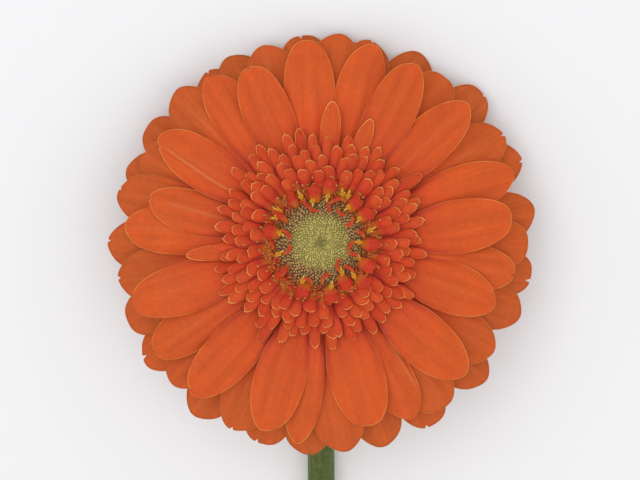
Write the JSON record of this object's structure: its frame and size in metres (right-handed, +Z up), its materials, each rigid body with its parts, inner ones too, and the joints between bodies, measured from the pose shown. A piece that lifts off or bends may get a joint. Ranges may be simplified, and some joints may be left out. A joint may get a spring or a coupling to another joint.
{
  "type": "cut gerbera",
  "caption": "Double orange-red gerbera bloom with a green-centred disc on a bare green cut stem, lying on its back with the bloom facing up.",
  "frame": {"origin": "the centre of the base of the flower's box, on the surface that it lies on", "axes": "+Y along the stem from its cut end towards the bloom, +Z up from the surface, the way the bloom faces"},
  "size_m": [0.1136, 0.401, 0.041],
  "materials": {
    "ray": "fresh petal, soft satin with fine lengthwise veins",
    "floret": "fresh petal, redder, with pale rims",
    "disc": "closed buds, matt, green in the middle and brown towards the edge",
    "bract": "green scales, matt and finely hairy",
    "stem": "fresh green stalk, satin, finely ribbed and hairy"
  },
  "bodies": {
    "root": {"stem": "stem", "involucre": "bract", "rays_first_row": "ray", "rays_second_row": "ray", "rays_third_row": "ray", "rays_fourth_row": "ray", "inner_florets": "floret", "disc_florets": "disc"}
  },
  "joints": []
}
